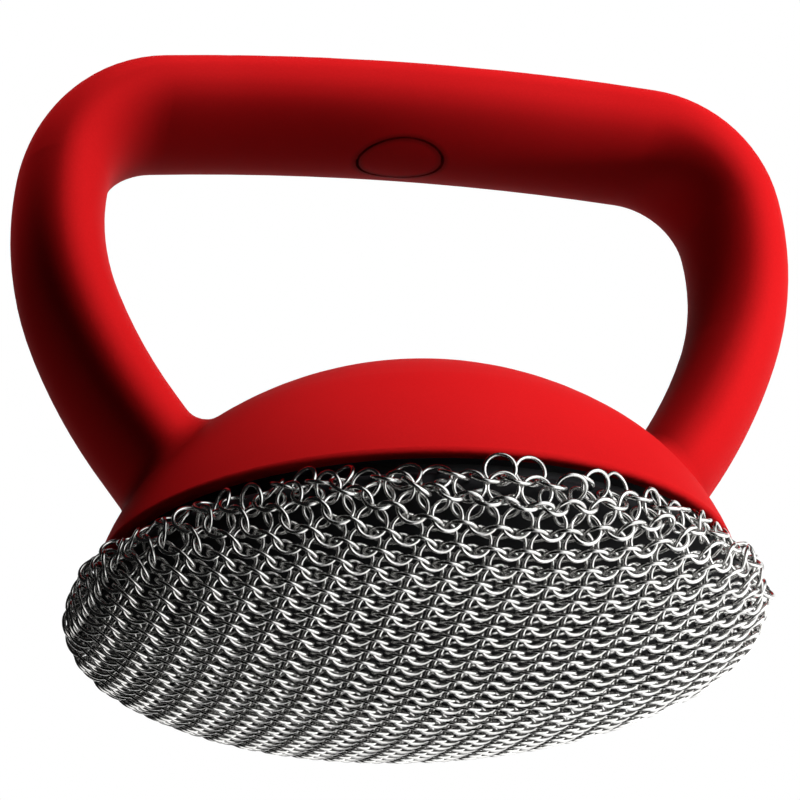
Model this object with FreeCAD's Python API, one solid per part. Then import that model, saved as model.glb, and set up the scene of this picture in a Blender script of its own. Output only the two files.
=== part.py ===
import FreeCAD, Part
import math
import os
from FreeCAD import Vector

# Pot scrubber: a loop handle moulded over a rigid core, a base plate screwed to the core, a
# cushion pad snapped over the plate and a sheet of linked steel rings drawn over the pad.
# Millimetres, +Z up. The origin is on the axis, where the lowest rings touch the table, and
# the loop of the handle stands in the XZ plane.

# Mail: round wire rings, each linked with two in the row before it and two in the row after
wire = 0.65
ring_radius = 2.3
ring_pitch = 5.4
row_pitch = 1.89
ring_lean = math.radians(30)
ring_skew = math.radians(10)
sheet_turn = math.radians(4)
wire_gap = 0.1
wire_sides = 8
rows_in_course = 2

# Outer form of the mail: a shallow crown, a shoulder and a rounded edge that the border climbs
mail_radius = 55.5
mail_depth = 14.7
crown_lean = math.radians(13)
shoulder_lean = math.radians(35)
edge_radius = 5.5
border_climb = math.radians(68)
border_muss = math.radians(14)

# Handle loop: flattened oval section. From the middle of the bar to a leg its path is a chain
# of arcs and then a straight. Half the bar is as long as the rim's radius less bar_inset, and
# each other arc is given as a radius and the angle that it turns through
grip_thick = 14.8
grip_deep = 32.0
loop_height = 103.7
bar_radius = 441.0
bar_inset = 10.2064
corner_bend = (17.8, math.radians(74.7))
side_bend = (46.8, math.radians(30.6))
leg_bend = (86.0, math.radians(14.3))
leg_rise = 6.8

# Domed base under the loop: an edge arc that leans in from the rim, and a crown arc. Their
# radii are a step smaller and a step larger than the rim's
rim_step = 4.5
rim_height = 22.2
rim_slope = math.radians(72)
dome_edge_step = 11.0
dome_crown_step = 9.5
root_fillet = 4.0
rim_round = 0.8

# Walls of the handle: soft skin over a hollow core
skin = 2.2
core_wall = 3.0
rib_thick = 2.0

# Blank round plug, flush in the underside of the bar
plug_radius = 6.9
plug_deep = 1.6
plug_groove = 0.5

# Base plate with a T-shaped ring that the pad snaps over
plate_step = 4.5
plate_thick = 2.0
plate_core_thick = 2.7
flange_step = 3.0
flange_reach = 3.5
flange_thick = 2.2
neck_wall = 4.0
neck_drop = 7.4

# Self-tapping screws, from below through the plate into the bosses of the core
screw_circle = 27.0
screw_count = 4
screw_shank = 2.5
screw_hole = 3.0
screw_head = 5.6
screw_head_high = 1.7
screw_dish = 0.55
screw_slot_long = 3.1
screw_slot_wide = 0.9
screw_long = 14.0
boss_radius = 4.0

# Clearances
pad_slip = 0.3
rest_gap = 0.1
seat_gap = 0.05
tuck_gap = 0.2

# Settling of the crowded rings at the edge of the mail
settle_rounds = 150
settle_ease = 0.8
search_every = 10
longest_step = 0.15
largest_turn = 0.08
draw_in = 0.05
loose_from = math.radians(11)
ring_samples = 24
drape_step = 0.25

out_dir = "parts"
os.makedirs(out_dir, exist_ok=True)

# Sizes that follow from the ones above
edge_x = mail_radius - edge_radius
half_mail = ring_radius * math.sin(ring_lean) + wire / 2
pad_sunk = 2 * half_mail + rest_gap
mail_ceiling = rim_height - tuck_gap
touching = 2 * (ring_radius + wire)
rim_radius = mail_radius - rim_step
dome_edge = rim_radius - dome_edge_step
dome_crown = rim_radius + dome_crown_step
bar_bend = (bar_radius, (rim_radius - bar_inset) / bar_radius)
leg_root = rim_height + leg_rise
plate_radius = rim_radius - plate_step
flange_radius = plate_radius - flange_step
neck_radius = flange_radius - flange_reach
flange_inner = neck_radius - neck_wall
neck_low = rim_height - neck_drop
flange_low = neck_low - flange_thick


# One arc of the mail's section, between two slopes; inset is measured inwards from the mail
class FormArc:
    def __init__(self, x, z, radius, start, end):
        self.x = x
        self.z = z
        self.radius = radius
        self.start = start
        self.end = end

    def point(self, slope, inset):
        reach = self.radius - inset
        return self.x + reach * math.sin(slope), self.z - reach * math.cos(slope)

    def run(self, inset):
        return (self.radius - inset) * (self.end - self.start)

    def edge(self, inset):
        ends = [self.point(a, inset) for a in (self.start, (self.start + self.end) / 2, self.end)]
        return Part.Arc(*[Vector(x, 0, z) for x, z in ends]).toShape()


# The mail's section: crown, shoulder and edge arcs, tangent to each other. The radii of the
# crown and the shoulder follow from the radius and the depth of the whole
def mail_section():
    s1, c1 = math.sin(crown_lean), math.cos(crown_lean)
    s2, c2 = math.sin(shoulder_lean), math.cos(shoulder_lean)
    out = mail_radius - edge_radius * (1 - s2)
    up = mail_depth - edge_radius * c2
    share = s1 * (c1 - c2) - (s2 - s1) * (1 - c1)
    crown = (out * (c1 - c2) - up * (s2 - s1)) / share
    shoulder = (up * s1 - out * (1 - c1)) / share
    shoulder_x = (crown - shoulder) * s1
    shoulder_z = crown - (crown - shoulder) * c1
    return [
        FormArc(0, crown, crown, 0, crown_lean),
        FormArc(shoulder_x, shoulder_z, shoulder, crown_lean, shoulder_lean),
        FormArc(edge_x, mail_depth, edge_radius, shoulder_lean, math.pi),
    ]


form = mail_section()
border_run = (edge_radius - half_mail) * (math.pi / 2 - shoulder_lean + border_climb)
sheet_radius = form[0].run(half_mail) + form[1].run(half_mail) + border_run


def save(name, shape):
    shape.exportStep(os.path.join(out_dir, name + ".step"))
    print(name, len(shape.Solids), "solids", round(shape.Volume, 1), "mm3", shape.isValid())


def section_face(points_and_arcs):
    return Part.Face(Part.Wire(Part.__sortEdges__(points_and_arcs)))


# Solid of revolution whose seam lies at the back, clear of the handle's legs
def spun(edges):
    face = section_face(edges)
    face.rotate(Vector(0, 0, 0), Vector(0, 0, 1), 90)
    return face.revolve(Vector(0, 0, 0), Vector(0, 0, 1), 360)


def line(x0, z0, x1, z1):
    return Part.makeLine(Vector(x0, 0, z0), Vector(x1, 0, z1))


def chain(points):
    return [line(*a, *b) for a, b in zip(points, points[1:])]


# Path of the loop through the middle of its section, from the right root to the left one
def loop_path():
    here = Vector(0, 0, loop_height)
    heading = 0.0
    right = []
    for radius, sweep in (bar_bend, corner_bend, side_bend, leg_bend):
        centre = here - Vector(math.sin(heading), 0, math.cos(heading)) * radius
        halfway = centre + Vector(math.sin(heading + sweep / 2), 0, math.cos(heading + sweep / 2)) * radius
        heading += sweep
        there = centre + Vector(math.sin(heading), 0, math.cos(heading)) * radius
        right.append(Part.Arc(there, halfway, here).toShape())
        here = there
    down = Vector(math.cos(heading), 0, -math.sin(heading))
    root = here + down * ((here.z - leg_root) / math.sin(heading))
    right.append(Part.makeLine(root, here))
    left = [edge.mirror(Vector(0, 0, 0), Vector(1, 0, 0)) for edge in right]
    return Part.Wire(Part.__sortEdges__(right[::-1] + left)), root, down


# Solid loop, its oval section drawn in by the given amount
def loop_solid(inset):
    path, root, down = loop_path()
    across = Vector(-down.z, 0, down.x)
    half_thick = grip_thick / 2 - inset
    half_deep = grip_deep / 2 - inset
    oval = Part.Ellipse(root + Vector(0, half_deep, 0), root + across * half_thick, root)
    return path.makePipeShell([Part.Wire([oval.toShape()])], True, False)


# Solid dome, its outline drawn in by the given amount
def dome_solid(inset):
    edge_out = rim_radius - dome_edge * math.sin(rim_slope)
    edge_z = rim_height - dome_edge * math.cos(rim_slope)
    lean = math.asin(edge_out / (dome_crown - dome_edge))
    crown_z = edge_z - (dome_crown - dome_edge) * math.cos(lean)
    crown = dome_crown - inset
    edge = dome_edge - inset
    low = math.acos((rim_height - edge_z) / edge)

    def on_crown(a):
        return Vector(crown * math.sin(a), 0, crown_z + crown * math.cos(a))

    def on_edge(a):
        return Vector(edge_out + edge * math.sin(a), 0, edge_z + edge * math.cos(a))

    arcs = [
        Part.Arc(on_crown(0), on_crown(lean / 2), on_crown(lean)).toShape(),
        Part.Arc(on_edge(lean), on_edge((lean + low) / 2), on_edge(low)).toShape(),
    ]
    wide = on_edge(low).x
    return spun(arcs + [line(wide, rim_height, 0, rim_height), line(0, rim_height, 0, on_crown(0).z)])


# Upright cylinder that reaches into the bar from below
def plug_cutter(radius, deep):
    under = loop_height - grip_thick / 2
    return Part.makeCylinder(radius, radius + deep, Vector(0, 0, under - radius))


def screw_places():
    for k in range(screw_count):
        a = math.pi / screw_count + 2 * math.pi * k / screw_count
        yield Vector(screw_circle * math.cos(a), screw_circle * math.sin(a), rim_height)


# Rigid core: inner loop on a hollow dome, with screw bosses inside and a rib out from the
# middle through each boss
def handle_core(inner):
    hollow = dome_solid(skin + core_wall)
    core = inner.cut(hollow)
    inside = []
    for place in screw_places():
        inside.append(Part.makeCylinder(boss_radius, dome_crown, place))
        rib = Part.makeBox(rim_radius, rib_thick, dome_crown, Vector(0, -rib_thick / 2, rim_height))
        turn = math.degrees(math.atan2(place.y, place.x))
        inside.append(rib.rotate(Vector(0, 0, 0), Vector(0, 0, 1), turn))
    stiffening = inside[0].multiFuse(inside[1:]).common(dome_solid(skin + core_wall / 2))
    core = core.fuse(stiffening).removeSplitter()
    for place in screw_places():
        pilot = Part.makeCylinder(screw_shank / 2 + seat_gap, screw_long, place)
        core = core.cut(pilot)
    return core


# Soft skin: loop and dome in one moulding, blended where the legs run into the dome
def handle_grip(inner):
    dome = dome_solid(0)
    rim = [edge for edge in dome.Edges if edge.BoundBox.ZMax < rim_height + rim_round]
    dome = dome.makeFillet(rim_round, rim)
    outer = dome.fuse(loop_solid(0))
    roots = []
    for edge in outer.Edges:
        faces = outer.ancestorsOfType(edge, Part.Face)
        kinds = {face.Surface.TypeId for face in faces}
        if len(kinds) > 1 and edge.BoundBox.ZMin > rim_height + 2 * rim_round:
            roots.append(edge)
    outer = outer.makeFillet(root_fillet, roots)
    pocket = plug_cutter(plug_radius + plug_groove, plug_deep + seat_gap)
    return outer.cut(inner).cut(pocket)


def grip_plug():
    return loop_solid(0).common(plug_cutter(plug_radius, plug_deep))


# Plate: a disc under the core with a T-shaped ring below it
def base_plate():
    low = rim_height - plate_thick
    core_low = rim_height - plate_core_thick
    points = [
        (0, rim_height), (plate_radius, rim_height), (plate_radius, low), (neck_radius, low),
        (neck_radius, neck_low), (flange_radius, neck_low), (flange_radius, flange_low),
        (flange_inner, flange_low), (flange_inner, core_low), (0, core_low), (0, rim_height),
    ]
    plate = spun(chain(points))
    for place in screw_places():
        floor = place - Vector(0, 0, plate_core_thick)
        plate = plate.cut(Part.makeCylinder(screw_hole / 2, plate_core_thick, floor))
        plate = plate.cut(Part.makeCylinder(screw_head / 2 + pad_slip, screw_head_high, floor))
    return plate


# One screw: a pan head with a cross recess, and a shank with a blunt point
def screw(place):
    head_low = place.z - plate_core_thick
    head_top = head_low + screw_head_high
    rim_low = head_low + screw_dish
    half_head = screw_head / 2
    half_shank = screw_shank / 2
    tip = head_top + screw_long - screw_head_high
    points = [
        (0, head_low), (half_head - screw_dish, head_low), (half_head, rim_low), (half_head, head_top),
        (half_shank, head_top), (half_shank, tip - half_shank), (half_shank / 2, tip), (0, tip),
        (0, head_low),
    ]
    body = spun(chain(points))
    for long, wide in ((screw_slot_long, screw_slot_wide), (screw_slot_wide, screw_slot_long)):
        low_corner = Vector(-long / 2, -wide / 2, head_low - screw_dish)
        body = body.cut(Part.makeBox(long, wide, 2 * screw_dish, low_corner))
    body.translate(Vector(place.x, place.y, 0))
    return body


# Pad: the mail's section drawn in, and a lip that closes over the plate's flange
def cushion_pad():
    lip_out, lip_top = form[2].point(math.pi, pad_sunk)
    lip_in = neck_radius + pad_slip
    lip_low = neck_low + pad_slip
    groove_out = flange_radius + pad_slip
    groove_low = flange_low - pad_slip
    groove_in = flange_inner - pad_slip
    middle_top = rim_height - plate_core_thick - pad_slip
    points = [
        (lip_out, lip_top), (lip_in, lip_top), (lip_in, lip_low), (groove_out, lip_low),
        (groove_out, groove_low), (groove_in, groove_low), (groove_in, middle_top), (0, middle_top),
        (0, pad_sunk),
    ]
    return spun([arc.edge(pad_sunk) for arc in form] + chain(points))


# One ring of the mail: its row, its middle and two unit directions in its plane
class Ring:
    def __init__(self, row, middle, along, across, arc, slope):
        self.row = row
        self.middle = middle
        self.along = along
        self.across = across
        self.arc = arc
        self.slope = slope

    def normal(self):
        return self.along.cross(self.across)

    # How far the wire reaches from the ring's middle along a unit direction
    def reach(self, direction):
        spread = math.hypot(self.along.dot(direction), self.across.dot(direction))
        return ring_radius * spread + wire / 2

    def placed(self, master):
        solid = master.copy()
        facing = FreeCAD.Rotation(self.along, self.across, self.normal(), "ZXY")
        solid.Placement = FreeCAD.Placement(self.middle, facing)
        return solid


# A ring at the origin; its round wire has flat sides that keep the wire's sectional area
def master_ring():
    side_turn = 2 * math.pi / wire_sides
    corner = wire / 2 * math.sqrt(side_turn / math.sin(side_turn))
    corners = []
    for k in range(wire_sides + 1):
        a = side_turn * (k + 0.5)
        corners.append(Vector(ring_radius + corner * math.cos(a), 0, corner * math.sin(a)))
    section = Part.Face(Part.makePolygon(corners))
    return section.revolve(Vector(0, 0, 0), Vector(0, 0, 1), 360)


# Point on the mail's middle surface for a place on the flat sheet, with its arc and slope
def draped(u, v):
    run = math.hypot(u, v)
    around = math.atan2(v, u) + sheet_turn
    for arc in form:
        if run <= arc.run(half_mail):
            break
        run -= arc.run(half_mail)
    slope = arc.start + run / (arc.radius - half_mail)
    out, up = arc.point(slope, half_mail)
    return Vector(out * math.cos(around), out * math.sin(around), up), arc, slope


# A fixed number between -1 and 1 that differs from ring to ring
def scatter(row, place, kind):
    return math.sin(17.0 * row * row + 29.0 * place + 7.0 * place * place + 41.0 * kind)


# The flat weave draped over the crown: rows lean to and fro in turn, and the rings that climb
# the edge lie untidily
def woven_rings():
    rings = []
    rows = int(sheet_radius / row_pitch)
    per_row = int(sheet_radius / ring_pitch) + 1
    step = drape_step
    for row in range(-rows, rows + 1):
        for place in range(-per_row, per_row + 1):
            u = (place + 0.5 * (row % 2)) * ring_pitch
            v = row * row_pitch
            if math.hypot(u, v) > sheet_radius:
                continue
            middle, arc, slope = draped(u, v)
            muss = border_muss if slope > math.pi / 2 else 0
            lean = (ring_lean if row % 2 else -ring_lean) + muss * scatter(row, place, 1)
            skew = ring_skew + muss * scatter(row, place, 2)
            along = (draped(u + step, v)[0] - draped(u - step, v)[0]).normalize()
            onward = draped(u, v + step)[0] - draped(u, v - step)[0]
            outward = along.cross(onward).normalize()
            along = along * math.cos(skew) + outward.cross(along) * math.sin(skew)
            across = outward.cross(along) * math.cos(lean) + outward * math.sin(lean)
            rings.append(Ring(row, middle, along, across, arc, slope))
    return rings


sample_turns = [2 * math.pi * k / ring_samples for k in range(ring_samples)]
around_ring = [(ring_radius * math.cos(a), ring_radius * math.sin(a)) for a in sample_turns]


# Least distance from one ring's wire line to another's, with the arms to both points
def closest(ring, other):
    offset = ring.middle - other.middle
    ox, oy, oz = offset
    ax, ay, az = ring.along
    bx, by, bz = ring.across
    nx, ny, nz = other.normal()
    least = math.inf
    for c, s in around_ring:
        x = ox + c * ax + s * bx
        y = oy + c * ay + s * by
        z = oz + c * az + s * bz
        rise = x * nx + y * ny + z * nz
        flat = math.sqrt(max(x * x + y * y + z * z - rise * rise, 0))
        apart = rise * rise + (flat - ring_radius) ** 2
        if apart < least:
            least = apart
            point = Vector(x, y, z)
    flat_point = point - other.normal() * point.dot(other.normal())
    arm_other = flat_point.normalize() * ring_radius
    return math.sqrt(least), point - offset, arm_other, point - arm_other


# Pairs of rings near enough to touch
def near_pairs(rings):
    cells = {}
    for k, ring in enumerate(rings):
        cell = tuple(math.floor(x / touching) for x in ring.middle)
        cells.setdefault(cell, []).append(k)
    shifts = [(i, j, k) for i in (-1, 0, 1) for j in (-1, 0, 1) for k in (-1, 0, 1)]
    pairs = []
    for cell, members in cells.items():
        around = []
        for shift in shifts:
            around += cells.get(tuple(a + b for a, b in zip(cell, shift)), [])
        for a in members:
            for b in around:
                if a < b and rings[a].middle.distanceToPoint(rings[b].middle) < touching:
                    pairs.append((a, b))
    return pairs


def capped(vector, most):
    return vector * (most / vector.Length) if vector.Length > most else vector


# A ring stays outside the pad, close to it, and below the rim of the handle
def seat(ring):
    out = math.hypot(ring.middle.x, ring.middle.y)
    side = Vector(ring.middle.x / out, ring.middle.y / out, 0)
    arc = ring.arc
    away = ring.middle - side * arc.x - Vector(0, 0, arc.z)
    height = away.Length
    away = away.normalize()
    least = arc.radius - pad_sunk + rest_gap + ring.reach(away)
    lie = arc.radius - half_mail
    if height < least:
        ring.middle += away * (least - height)
    elif height > lie:
        ring.middle -= away * (height - max(lie, least)) * draw_in
    over = ring.middle.z + ring.reach(Vector(0, 0, 1)) - mail_ceiling
    if over > 0:
        ring.middle.z -= over


# Eases the rings on the rounded edge apart until no two wires touch
def settle(rings):
    need = wire + wire_gap
    inertia = ring_radius**2 / 2
    loose = [ring.slope > loose_from for ring in rings]
    for turn in range(settle_rounds):
        if turn % search_every == 0:
            pairs = [(a, b) for a, b in near_pairs(rings) if loose[a] or loose[b]]
        shifts = {}
        for pair in pairs:
            for a, b in (pair, pair[::-1]):
                apart, arm_a, arm_b, push = closest(rings[a], rings[b])
                if apart >= need:
                    continue
                push = push.normalize()
                turns = arm_a.cross(push), arm_b.cross(push)
                give = [loose[k] * (1 + t.dot(t) / inertia) for k, t in zip((a, b), turns)]
                share = settle_ease * (need - apart) / sum(give)
                for k, t, sign in ((a, turns[0], share), (b, turns[1], -share)):
                    moved = shifts.setdefault(k, [Vector(), Vector()])
                    moved[0] += push * sign
                    moved[1] += t * (sign / inertia)
        for k, ring in enumerate(rings):
            if not loose[k]:
                continue
            if k in shifts:
                ring.middle += capped(shifts[k][0], longest_step)
                twist = capped(shifts[k][1], largest_turn)
                ring.along = (ring.along + twist.cross(ring.along)).normalize()
                across = ring.across + twist.cross(ring.across)
                ring.across = (across - ring.along * ring.along.dot(across)).normalize()
            seat(ring)
    apart = []
    for a, b in near_pairs(rings):
        apart += [closest(rings[a], rings[b])[0], closest(rings[b], rings[a])[0]]
    print("mail:", len(rings), "rings, least gap between wires", round(min(apart) - wire, 3), "mm")
    return rings


# Rows of the mail in courses of two, from the front edge to the back one
def mail_courses():
    master = master_ring()
    courses = {}
    for ring in settle(woven_rings()):
        courses.setdefault(ring.row // rows_in_course, []).append(ring.placed(master))
    for number, key in enumerate(sorted(courses), 1):
        yield f"mail_course_{number:02d}", Part.makeCompound(courses[key])


inner_handle = dome_solid(skin).fuse(loop_solid(skin))
save("handle_core", handle_core(inner_handle))
save("handle_grip", handle_grip(inner_handle))
save("grip_plug", grip_plug())
save("base_plate", base_plate())
save("plate_screws", Part.makeCompound([screw(place) for place in screw_places()]))
save("cushion_pad", cushion_pad())
for course_name, course in mail_courses():
    save(course_name, course)
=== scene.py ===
import bpy
import math
import numpy as np
from mathutils import Matrix, Vector


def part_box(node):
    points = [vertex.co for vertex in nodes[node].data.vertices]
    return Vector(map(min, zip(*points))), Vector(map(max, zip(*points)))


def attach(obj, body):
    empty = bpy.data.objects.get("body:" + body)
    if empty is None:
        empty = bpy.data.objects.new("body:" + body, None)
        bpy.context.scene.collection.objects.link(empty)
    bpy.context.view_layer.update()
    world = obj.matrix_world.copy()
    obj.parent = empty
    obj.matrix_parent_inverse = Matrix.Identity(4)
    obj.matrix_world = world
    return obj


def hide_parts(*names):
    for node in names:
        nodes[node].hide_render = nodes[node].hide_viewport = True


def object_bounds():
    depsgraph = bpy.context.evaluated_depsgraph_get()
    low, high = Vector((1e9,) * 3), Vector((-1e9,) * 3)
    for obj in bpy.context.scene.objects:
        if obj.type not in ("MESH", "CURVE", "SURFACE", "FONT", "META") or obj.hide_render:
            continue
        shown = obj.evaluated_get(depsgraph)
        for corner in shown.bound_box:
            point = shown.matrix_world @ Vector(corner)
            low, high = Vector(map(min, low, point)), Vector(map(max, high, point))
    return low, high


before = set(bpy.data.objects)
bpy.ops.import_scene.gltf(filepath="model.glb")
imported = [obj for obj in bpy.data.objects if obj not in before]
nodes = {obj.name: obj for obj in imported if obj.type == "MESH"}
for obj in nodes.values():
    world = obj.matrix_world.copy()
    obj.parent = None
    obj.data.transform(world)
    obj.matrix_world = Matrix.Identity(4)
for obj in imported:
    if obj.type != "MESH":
        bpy.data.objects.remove(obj)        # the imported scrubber, standing on its crown
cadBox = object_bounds()
mm = 0.001
print("frame loaded:", len(nodes), "nodes")


# shader helpers: a value that is an output socket gets linked, any other value is set
def addNode(tree, kind, inputs=None, **settings):
    node = tree.nodes.new(kind)
    for name, value in settings.items():
        setattr(node, name, value)
    for name, value in (inputs or {}).items():
        if isinstance(value, bpy.types.NodeSocket):
            tree.links.new(value, node.inputs[name])
        else:
            node.inputs[name].default_value = value
    return node


def mathNode(tree, operation, first, second):
    return addNode(tree, "ShaderNodeMath", {0: first, 1: second}, operation=operation).outputs[0]


def spreadNode(tree, value, low, high):      # takes 0..1 to low..high
    ends = {"Value": value, "To Min": low, "To Max": high}
    return addNode(tree, "ShaderNodeMapRange", ends).outputs["Result"]


def mixColour(tree, factor, first, second):
    ends = {"Factor": factor, "A": first, "B": second}
    mix = tree.nodes.new("ShaderNodeMix")
    mix.data_type = "RGBA"
    for name, value in ends.items():
        socket = next(s for s in mix.inputs if s.name == name and s.enabled)
        if isinstance(value, bpy.types.NodeSocket):
            tree.links.new(value, socket)
        else:
            socket.default_value = value
    return next(s for s in mix.outputs if s.enabled)


def newGroup(name, inputs, outputs):
    group = bpy.data.node_groups.new(name, "ShaderNodeTree")
    for label, value in inputs.items():
        socket = group.interface.new_socket(label, in_out="INPUT", socket_type="NodeSocketFloat")
        socket.default_value = value
    for label in outputs:
        group.interface.new_socket(label, in_out="OUTPUT", socket_type="NodeSocketFloat")
    return group, group.nodes.new("NodeGroupInput"), group.nodes.new("NodeGroupOutput")


def placeGroup(tree, group, values):
    placed = addNode(tree, "ShaderNodeGroup", node_tree=group)
    for name, value in values.items():
        placed.inputs[name].default_value = value
    return placed


noiseDetail = {"grain": 2.0, "cloud": 3.0, "dents": 2.0, "dull": 1.0}


# fine pebbled grain of a moulded surface, and slow clouds over it
def moulded():
    group, given, made = newGroup(
        "mouldedGrain", {"Grain Scale": 3000, "Cloud Scale": 40}, ("Grain", "Cloud"))
    where = addNode(group, "ShaderNodeTexCoord").outputs["Object"]
    grain = addNode(group, "ShaderNodeTexNoise",
                    {"Vector": where, "Scale": given.outputs["Grain Scale"],
                     "Detail": noiseDetail["grain"]})
    cloud = addNode(group, "ShaderNodeTexNoise",
                    {"Vector": where, "Scale": given.outputs["Cloud Scale"],
                     "Detail": noiseDetail["cloud"]})
    group.links.new(grain.outputs[0], made.inputs["Grain"])
    group.links.new(cloud.outputs[0], made.inputs["Cloud"])
    return group


# drawn and tumbled wire: fine dents, and patches where the polish is duller
def tumbled():
    group, given, made = newGroup(
        "tumbledWire", {"Dent Scale": 2500, "Patch Scale": 500}, ("Dents", "Dull"))
    where = addNode(group, "ShaderNodeTexCoord").outputs["Object"]
    dents = addNode(group, "ShaderNodeTexNoise",
                    {"Vector": where, "Scale": given.outputs["Dent Scale"],
                     "Detail": noiseDetail["dents"]})
    patch = addNode(group, "ShaderNodeTexNoise",
                    {"Vector": where, "Scale": given.outputs["Patch Scale"],
                     "Detail": noiseDetail["dull"]})
    group.links.new(dents.outputs[0], made.inputs["Dents"])
    group.links.new(patch.outputs[0], made.inputs["Dull"])
    return group


mouldedGrain = moulded()
tumbledWire = tumbled()


def newMaterial(name):
    material = bpy.data.materials.new(name)
    material.use_nodes = True
    tree = material.node_tree
    return material, tree, tree.nodes["Principled BSDF"]


# soft painted shade along a round groove, a darker ring painted into the colour: how dark it is,
# by the distance from the upright axis
def paintedGrooveShade(tree, paintedShadeRing):
    where = addNode(tree, "ShaderNodeTexCoord").outputs["Object"]
    axes = addNode(tree, "ShaderNodeSeparateXYZ", {0: where}).outputs
    flat = addNode(tree, "ShaderNodeCombineXYZ", {"X": axes["X"], "Y": axes["Y"]}).outputs[0]
    out = addNode(tree, "ShaderNodeVectorMath", {0: flat}, operation="LENGTH").outputs["Value"]
    off = mathNode(tree, "ABSOLUTE", mathNode(tree, "SUBTRACT", out, paintedShadeRing["radius"]), 0.0)
    near = addNode(tree, "ShaderNodeMapRange", {
        "Value": off, "From Min": paintedShadeRing["halfWidth"], "From Max": 0.0, "To Max": paintedShadeRing["depth"]},
        interpolation_type="SMOOTHSTEP")
    level = addNode(tree, "ShaderNodeMath", {0: axes["Z"], 1: paintedShadeRing["height"], 2: paintedShadeRing["band"]},
                    operation="COMPARE")
    return mathNode(tree, "MULTIPLY", near.outputs["Result"], level.outputs[0])


# the colour as other surfaces get it by diffuse bounce is dimmed to the given share
def lentColour(tree, colour, share):
    dimmed = addNode(tree, "ShaderNodeHueSaturation", {"Value": share, "Color": colour})
    bounced = addNode(tree, "ShaderNodeLightPath").outputs["Is Diffuse Ray"]
    return mixColour(tree, bounced, colour, dimmed.outputs[0])


# a moulded rubber or plastic, from one dictionary of values
def mouldedMaterial(name, look):
    material, tree, shader = newMaterial(name)
    grain = placeGroup(tree, mouldedGrain, {"Grain Scale": look["grainScale"],
                                            "Cloud Scale": look["cloudScale"]})
    shade = mixColour(tree, grain.outputs["Cloud"], look["deep"], look["pale"])
    fleck = spreadNode(tree, grain.outputs["Grain"], look["fleck"][0], look["fleck"][1])
    # where a ring is given, the colour is darkened by painted shade around a groove
    if "paintedShadeRing" in look:
        lit = mathNode(tree, "SUBTRACT", 1.0, paintedGrooveShade(tree, look["paintedShadeRing"]))
        fleck = mathNode(tree, "MULTIPLY", fleck, lit)
    fleckAndPaintedShade = addNode(tree, "ShaderNodeHueSaturation", {"Value": fleck, "Color": shade})
    colour = fleckAndPaintedShade.outputs[0]
    if "bleed" in look:
        colour = lentColour(tree, colour, look["bleed"])
    rough = spreadNode(tree, grain.outputs["Cloud"], look["rough"][0], look["rough"][1])
    bump = addNode(tree, "ShaderNodeBump", {"Height": grain.outputs["Grain"],
                                            "Strength": look["bump"],
                                            "Distance": look["bumpHeight"]})
    tree.links.new(colour, shader.inputs["Base Color"])
    tree.links.new(rough, shader.inputs["Roughness"])
    tree.links.new(bump.outputs["Normal"], shader.inputs["Normal"])
    shader.inputs["Specular IOR Level"].default_value = look["specular"]
    return material


# a steel wire, from one dictionary of values
def wireMaterial(name, look):
    material, tree, shader = newMaterial(name)
    finish = placeGroup(tree, tumbledWire, {"Dent Scale": look["dentScale"],
                                            "Patch Scale": look["patchScale"]})
    tone = addNode(tree, "ShaderNodeAttribute", attribute_name="ringTone").outputs["Fac"]
    shade = mixColour(tree, tone, look["deep"], look["pale"])
    rough = spreadNode(tree, finish.outputs["Dull"], look["rough"][0], look["rough"][1])
    bump = addNode(tree, "ShaderNodeBump", {"Height": finish.outputs["Dents"],
                                            "Strength": look["bump"],
                                            "Distance": look["bumpHeight"]})
    tree.links.new(shade, shader.inputs["Base Color"])
    tree.links.new(rough, shader.inputs["Roughness"])
    tree.links.new(bump.outputs["Normal"], shader.inputs["Normal"])
    shader.inputs["Metallic"].default_value = 1.0
    return material


def dress(name, material):
    for slot in nodes[name].material_slots:
        slot.material = material


# handle: the moulded red skin and the blank plug stay as constructed
redSkin = {
    "deep": (0.62, 0.009, 0.011, 1), "pale": (0.70, 0.013, 0.015, 1),
    "fleck": (0.93, 1.07), "rough": (0.60, 0.68), "specular": 0.025, "bleed": 0.15,
    "grainScale": 3200, "cloudScale": 55, "bump": 0.16, "bumpHeight": 0.05 * mm,
    # painted shade: a darker ring in the red colour around the plug's groove
    "paintedShadeRing": {"radius": 7.15 * mm, "halfWidth": 1.5 * mm, "depth": 0.5,
               "height": 97.5 * mm, "band": 3 * mm},
}
# the plug has the skin's values with other tones, the painted groove shade included
redPlug = dict(redSkin, cloudScale=90,
               deep=(0.57, 0.009, 0.011, 1), pale=(0.64, 0.012, 0.014, 1))
dress("handle_grip", mouldedMaterial("softRedSkin", redSkin))
dress("grip_plug", mouldedMaterial("softRedPlug", redPlug))
print("handle dressed")

# base: black plate and what is hidden inside
plateBlack = {
    "deep": (0.010, 0.010, 0.011, 1), "pale": (0.016, 0.016, 0.018, 1),
    "fleck": (0.85, 1.15), "rough": (0.38, 0.50), "specular": 0.3,
    "grainScale": 2600, "cloudScale": 80, "bump": 0.2, "bumpHeight": 0.05 * mm,
}
coreNylon = dict(plateBlack, deep=(0.040, 0.040, 0.044, 1), pale=(0.055, 0.055, 0.060, 1))
screwSteel = {
    "deep": (0.50, 0.50, 0.51, 1), "pale": (0.60, 0.60, 0.61, 1), "rough": (0.25, 0.40),
    "dentScale": 1800, "patchScale": 400, "bump": 0.1, "bumpHeight": 0.02 * mm,
}
dress("base_plate", mouldedMaterial("blackPlate", plateBlack))
dress("handle_core", mouldedMaterial("hiddenNylon", coreNylon))
dress("plate_screws", wireMaterial("screwSteel", screwSteel))
print("base dressed")

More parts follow.
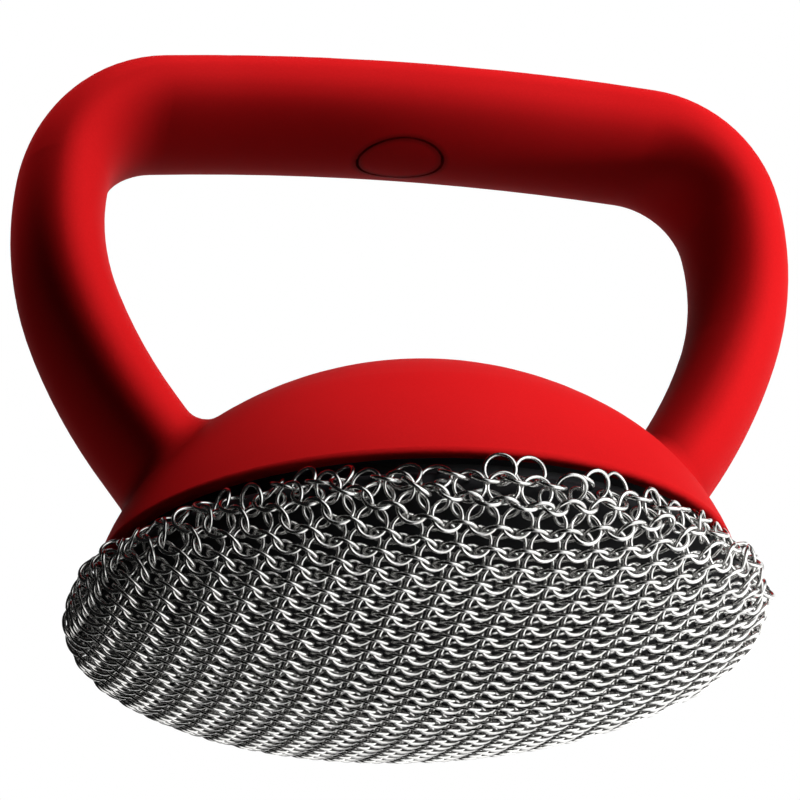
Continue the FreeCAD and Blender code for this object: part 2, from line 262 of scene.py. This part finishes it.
# cushion: a turned section, crowned below, with a lip that closes over the plate's ring
cushion = {
    "edgeRadius": 2.45 * mm, "crownLean": math.radians(13), "shoulderLean": math.radians(35),
    "lipInner": 40.3 * mm, "lipLow": 15.1 * mm, "grooveOuter": 43.8 * mm, "grooveLow": 12.3 * mm,
    "grooveInner": 35.7 * mm, "middleTop": 19.2 * mm,
    "stepsAround": 128, "crownSteps": 24, "shoulderSteps": 10, "edgeSteps": 16,
    "sharpFrom": math.radians(40),
    "look": {
        "deep": (0.005, 0.005, 0.006, 1), "pale": (0.009, 0.009, 0.010, 1),
        "fleck": (0.9, 1.1), "rough": (0.50, 0.60), "specular": 0.15,
        "grainScale": 2000, "cloudScale": 70, "bump": 0.15, "bumpHeight": 0.05 * mm,
    },
}


def cushionSection():      # crown, shoulder and edge arcs, tangent to each other, then the lip
    low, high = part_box("cushion_pad")
    edge = cushion["edgeRadius"]
    edgeOut, edgeUp = high.x - edge, high.z - edge
    first, second = cushion["crownLean"], cushion["shoulderLean"]
    s1, c1, s2, c2 = math.sin(first), math.cos(first), math.sin(second), math.cos(second)
    out = edgeOut + edge * s2
    up = edgeUp - edge * c2 - low.z
    share = s1 * (c1 - c2) - (s2 - s1) * (1 - c1)
    crown = (out * (c1 - c2) - up * (s2 - s1)) / share
    shoulder = (up * s1 - out * (1 - c1)) / share
    inwards = crown - shoulder
    middles = [(0, low.z + crown), (inwards * s1, low.z + crown - inwards * c1), (edgeOut, edgeUp)]
    arcs = [(crown, np.linspace(0, first, cushion["crownSteps"], endpoint=False)),
            (shoulder, np.linspace(first, second, cushion["shoulderSteps"], endpoint=False)),
            (edge, np.linspace(second, math.pi, cushion["edgeSteps"]))]
    points = []
    for (x, z), (radius, slopes) in zip(middles, arcs):
        points += [(x + radius * math.sin(a), z - radius * math.cos(a)) for a in slopes]
    points += [
        (cushion["lipInner"], high.z),
        (cushion["lipInner"], cushion["lipLow"]),
        (cushion["grooveOuter"], cushion["lipLow"]),
        (cushion["grooveOuter"], cushion["grooveLow"]),
        (cushion["grooveInner"], cushion["grooveLow"]),
        (cushion["grooveInner"], cushion["middleTop"]),
        (0, cushion["middleTop"]),
    ]
    return points


def turnedMesh(name, section, steps):       # first and last point lie on the axis
    verts = [(0, 0, section[0][1])]
    for out, up in section[1:-1]:
        for k in range(steps):
            turn = 2 * math.pi * k / steps
            verts.append((out * math.cos(turn), out * math.sin(turn), up))
    verts.append((0, 0, section[-1][1]))
    rows = len(section) - 2
    faces = []
    for k in range(steps):
        after = (k + 1) % steps
        faces.append((0, 1 + after, 1 + k))
        for row in range(rows - 1):
            here, there = 1 + row * steps, 1 + (row + 1) * steps
            faces.append((here + k, here + after, there + after, there + k))
        last = 1 + (rows - 1) * steps
        faces.append((last + k, last + after, len(verts) - 1))
    mesh = bpy.data.meshes.new(name)
    mesh.from_pydata(verts, [], faces)
    mesh.validate()
    return mesh


def linked(name, mesh, material):
    made = bpy.data.objects.new(name, mesh)
    bpy.context.scene.collection.objects.link(made)
    mesh.materials.append(material)
    return made


padMesh = turnedMesh("cushion", cushionSection(), cushion["stepsAround"])
padMesh.shade_smooth()
padMesh.set_sharp_from_angle(angle=cushion["sharpFrom"])
pad = linked("cushion", padMesh, mouldedMaterial("blackSilicone", cushion["look"]))
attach(pad, "root")
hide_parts("cushion_pad")
print("cushion turned:", len(padMesh.polygons), "faces")

# mail: each constructed ring is read from the frame and drawn as round wire with a small weld
mail = {
    "wireRadius": 0.325 * mm, "stepsAround": 24, "stepsSection": 8,
    "weldSwell": 0.12, "weldSpan": 0.18, "weldTurn": 0.35, "seed": 11,
    "cellsPerMetre": 1e6,       # points in one cell count as one point
    "look": {
        "deep": (0.58, 0.575, 0.56, 1), "pale": (0.70, 0.695, 0.68, 1), "rough": (0.15, 0.24),
        "dentScale": 1500, "patchScale": 450, "bump": 0.12, "bumpHeight": 0.03 * mm,
    },
}


def islandsOf(mesh):      # one array of points for each separate solid in a node
    count = len(mesh.vertices)
    points = np.zeros(count * 3, np.float32)
    mesh.vertices.foreach_get("co", points)
    points = points.reshape(-1, 3).astype(float)
    ends = np.zeros(len(mesh.edges) * 2, np.int32)
    mesh.edges.foreach_get("vertices", ends)
    cells = np.round(points * mail["cellsPerMetre"])
    welded = np.unique(cells, axis=0, return_inverse=True)[1].ravel()
    first, second = welded[ends[0::2]], welded[ends[1::2]]
    label = np.arange(welded.max() + 1)
    while True:
        least = np.minimum(label[first], label[second])
        before = label.copy()
        np.minimum.at(label, first, least)
        np.minimum.at(label, second, least)
        label = label[label]
        if (label == before).all():
            break
    owner = label[welded]
    return [points[owner == key] for key in np.unique(owner)]


def ringFrame(points):    # middle, two directions in the ring's plane, and its radius
    middle = points.mean(0)
    normal = np.linalg.svd(points - middle, full_matrices=False)[2][2]
    along = np.cross(normal, (0.0, 1.0, 0.0))
    along = along / np.linalg.norm(along)
    across = np.cross(normal, along)
    flat = points - middle - np.outer((points - middle) @ normal, normal)
    return middle, along, across, normal, np.linalg.norm(flat, axis=1).mean()


chance = np.random.default_rng(mail["seed"])
turns = np.arange(mail["stepsAround"]) * 2 * math.pi / mail["stepsAround"]
sides = np.arange(mail["stepsSection"]) * 2 * math.pi / mail["stepsSection"]


def ringPoints(points):
    middle, along, across, normal, radius = ringFrame(points)
    weldAt = mail["weldTurn"] * chance.standard_normal() + math.pi * chance.integers(0, 2)
    off = (turns - weldAt + math.pi) % (2 * math.pi) - math.pi
    wire = mail["wireRadius"] * (1 + mail["weldSwell"] * np.exp(-((off / mail["weldSpan"]) ** 2)))
    out = np.outer(np.cos(turns), along) + np.outer(np.sin(turns), across)
    reach = radius + wire[:, None] * np.cos(sides)
    rise = wire[:, None] * np.sin(sides)
    made = middle + out[:, None, :] * reach[:, :, None] + normal * rise[:, :, None]
    return made.reshape(-1, 3)


def ringFaces():
    around, section = mail["stepsAround"], mail["stepsSection"]
    faces = []
    for a in range(around):
        for s in range(section):
            b, t = (a + 1) % around, (s + 1) % section
            faces.append((a * section + s, b * section + s, b * section + t, a * section + t))
    return np.array(faces)


oneRing = ringFaces()
mailSteel = wireMaterial("mailSteel", mail["look"])
ringCount = 0
for node in sorted(name for name in nodes if name.startswith("mail_course_")):
    verts, faces, tones = [], [], []
    for k, island in enumerate(islandsOf(nodes[node].data)):
        made = ringPoints(island)
        faces.append(oneRing + k * len(made))
        verts.append(made)
        tones.append(np.full(len(made), chance.random(), np.float32))
    mesh = bpy.data.meshes.new(node)
    mesh.from_pydata(np.concatenate(verts), [], np.concatenate(faces))
    tone = mesh.attributes.new("ringTone", "FLOAT", "POINT")
    tone.data.foreach_set("value", np.concatenate(tones))
    mesh.shade_smooth()
    course = linked("mailCourse" + node[-2:], mesh, mailSteel)
    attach(course, "root")
    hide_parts(node)
    ringCount += len(verts)
print("mail drawn:", ringCount, "rings")

# floor: pale around the object, white further out, and open from below, where the photo's eye is
floor = {
    "half": 2.0, "colour": (0.86, 0.86, 0.86, 1), "glow": 0.45, "whiteFrom": 0.6,
    "clearance": 0.02 * mm,
}
floorMesh = bpy.data.meshes.new("floor")
half = floor["half"]
floorMesh.from_pydata([(-half, -half, 0), (half, -half, 0), (half, half, 0), (-half, half, 0)],
                      [], [(0, 1, 2, 3)])
floorMaterial, tree, shader = newMaterial("paleFloor")
shader.inputs["Base Color"].default_value = floor["colour"]
shader.inputs["Specular IOR Level"].default_value = 0.0
spot = addNode(tree, "ShaderNodeTexCoord").outputs["Object"]
out = addNode(tree, "ShaderNodeVectorMath", {0: spot}, operation="LENGTH").outputs["Value"]
white = addNode(tree, "ShaderNodeMapRange", {"Value": out, "From Max": floor["whiteFrom"],
                                             "To Min": floor["glow"]}).outputs["Result"]
glowing = addNode(tree, "ShaderNodeEmission")
upper = addNode(tree, "ShaderNodeMixShader",
                {0: white, 1: shader.outputs[0], 2: glowing.outputs[0]})
below = addNode(tree, "ShaderNodeNewGeometry").outputs["Backfacing"]
clear = addNode(tree, "ShaderNodeBsdfTransparent")
either = addNode(tree, "ShaderNodeMixShader",
                 {0: below, 1: upper.outputs[0], 2: clear.outputs[0]})
tree.links.new(either.outputs[0], tree.nodes["Material Output"].inputs["Surface"])
ground = linked("floor", floorMesh, floorMaterial)
ground.location.z = cadBox[0].z - floor["clearance"]
for ray in ("visible_diffuse", "visible_glossy", "visible_transmission", "visible_shadow"):
    setattr(ground, ray, False)

# surroundings: white behind, little light all round, and for the metal a dim room with bright
# places, each a direction and the cosines between which it fades in
room = {"white": 1.0, "ambient": 0.015, "dim": 0.008}
glows = {
    "windowLowRight": {"toward": (0.85, -0.25, -0.46), "from": 0.46, "to": 0.76, "strength": 1.6},
    "keyFront": {"toward": (0.60, -0.72, 0.34), "from": 0.68, "to": 0.90, "strength": 1.7},
    "backdrop": {"toward": (0.50, 0.80, 0.10), "from": 0.52, "to": 0.88, "strength": 1.35},
}
world = bpy.data.worlds.new("studio")
bpy.context.scene.world = world
world.use_nodes = True
tree = world.node_tree
backdrop = tree.nodes["Background"]
path = addNode(tree, "ShaderNodeLightPath").outputs
away = addNode(tree, "ShaderNodeTexCoord").outputs["Generated"]
shownToMetal = room["dim"]
for glow in glows.values():
    aim = Vector(glow["toward"]).normalized()
    toward = addNode(tree, "ShaderNodeVectorMath", {0: away, 1: aim}, operation="DOT_PRODUCT")
    spot = addNode(tree, "ShaderNodeMapRange", {
        "Value": toward.outputs["Value"], "From Min": glow["from"], "From Max": glow["to"],
        "To Max": glow["strength"]}, interpolation_type="SMOOTHSTEP")
    shownToMetal = mathNode(tree, "ADD", spot.outputs["Result"], shownToMetal)
metal = mathNode(tree, "MULTIPLY", path["Is Glossy Ray"], shownToMetal)
through = mathNode(tree, "MAXIMUM", path["Is Camera Ray"], path["Is Transmission Ray"])
seen = mathNode(tree, "MULTIPLY", through, room["white"])
named = mathNode(tree, "MAXIMUM", through, path["Is Glossy Ray"])
others = mathNode(tree, "SUBTRACT", 1.0, named)
ambient = mathNode(tree, "MULTIPLY", others, room["ambient"])
light = mathNode(tree, "ADD", mathNode(tree, "ADD", metal, seen), ambient)
tree.links.new(light, backdrop.inputs["Strength"])
backdrop.inputs["Color"].default_value = (1, 1, 1, 1)


# lamps: soft boxes on a ring around the object, by elevation, azimuth from the front, and power
lamps = {
    "keyBox": {"elevation": 30, "azimuth": 23, "power": 1.90},
    "sideBox": {"elevation": 10, "azimuth": 51, "power": 2.45},
    "underBox": {"elevation": -60, "azimuth": 80, "power": 2.00},
    "topBox": {"elevation": 70, "azimuth": 240, "power": 2.10},
    "backBox": {"elevation": -30, "azimuth": 209, "power": 0.50},
}
lampBox = {"size": 0.22, "away": 0.62, "aim": Vector((0, 0, 0.05))}


def softBox(name, elevation, azimuth, power):
    up, side = math.radians(elevation), math.radians(azimuth)
    away = Vector((math.cos(up) * math.sin(side), -math.cos(up) * math.cos(side), math.sin(up)))
    lamp = bpy.data.lights.new(name, "AREA")
    lamp.shape = "SQUARE"
    lamp.size = lampBox["size"]
    lamp.energy = power
    made = bpy.data.objects.new(name, lamp)
    bpy.context.scene.collection.objects.link(made)
    made.location = lampBox["aim"] + away * lampBox["away"]
    made.rotation_euler = away.to_track_quat("Z", "Y").to_euler()
    made.visible_glossy = False       # the metal sees the glows of the surroundings instead


for name, lamp in lamps.items():
    softBox(name, **lamp)
print("studio lit:", len(lamps), "lamps")

# camera: below and to the left, as in the photograph
eye = {
    "elevation": -23.731, "azimuth": -12.964, "roll": -2.18, "distance": 625 * mm,
    "aimHeight": 54.5 * mm, "pixelsPerMetre": 6156, "frame": 800,
    "middleX": 408.5, "middleY": 390.97, "sensor": 36, "clipStart": 10 * mm,
}


def photoCamera():
    up, side, roll = (math.radians(eye[key]) for key in ("elevation", "azimuth", "roll"))
    back = Vector((math.sin(side) * math.cos(up), -math.cos(side) * math.cos(up), math.sin(up)))
    right = Vector((math.cos(side), math.sin(side), 0))
    upward = back.cross(right)
    turnedRight = right * math.cos(roll) + upward * math.sin(roll)
    turnedUp = upward * math.cos(roll) - right * math.sin(roll)
    data = bpy.data.cameras.new("photoEye")
    data.sensor_width = eye["sensor"]
    data.lens = eye["sensor"] * eye["pixelsPerMetre"] * eye["distance"] / eye["frame"]
    data.shift_x = (eye["frame"] / 2 - eye["middleX"]) / eye["frame"]
    data.shift_y = (eye["middleY"] - eye["frame"] / 2) / eye["frame"]
    data.clip_start = eye["clipStart"]
    made = bpy.data.objects.new("photoEye", data)
    bpy.context.scene.collection.objects.link(made)
    facing = Matrix((turnedRight, turnedUp, back)).transposed().to_4x4()
    place = Vector((0, 0, eye["aimHeight"])) + back * eye["distance"]
    made.matrix_world = Matrix.Translation(place) @ facing
    bpy.context.scene.camera = made


photoCamera()
bpy.context.scene.view_settings.view_transform = "Standard"
bpy.context.view_layer.update()
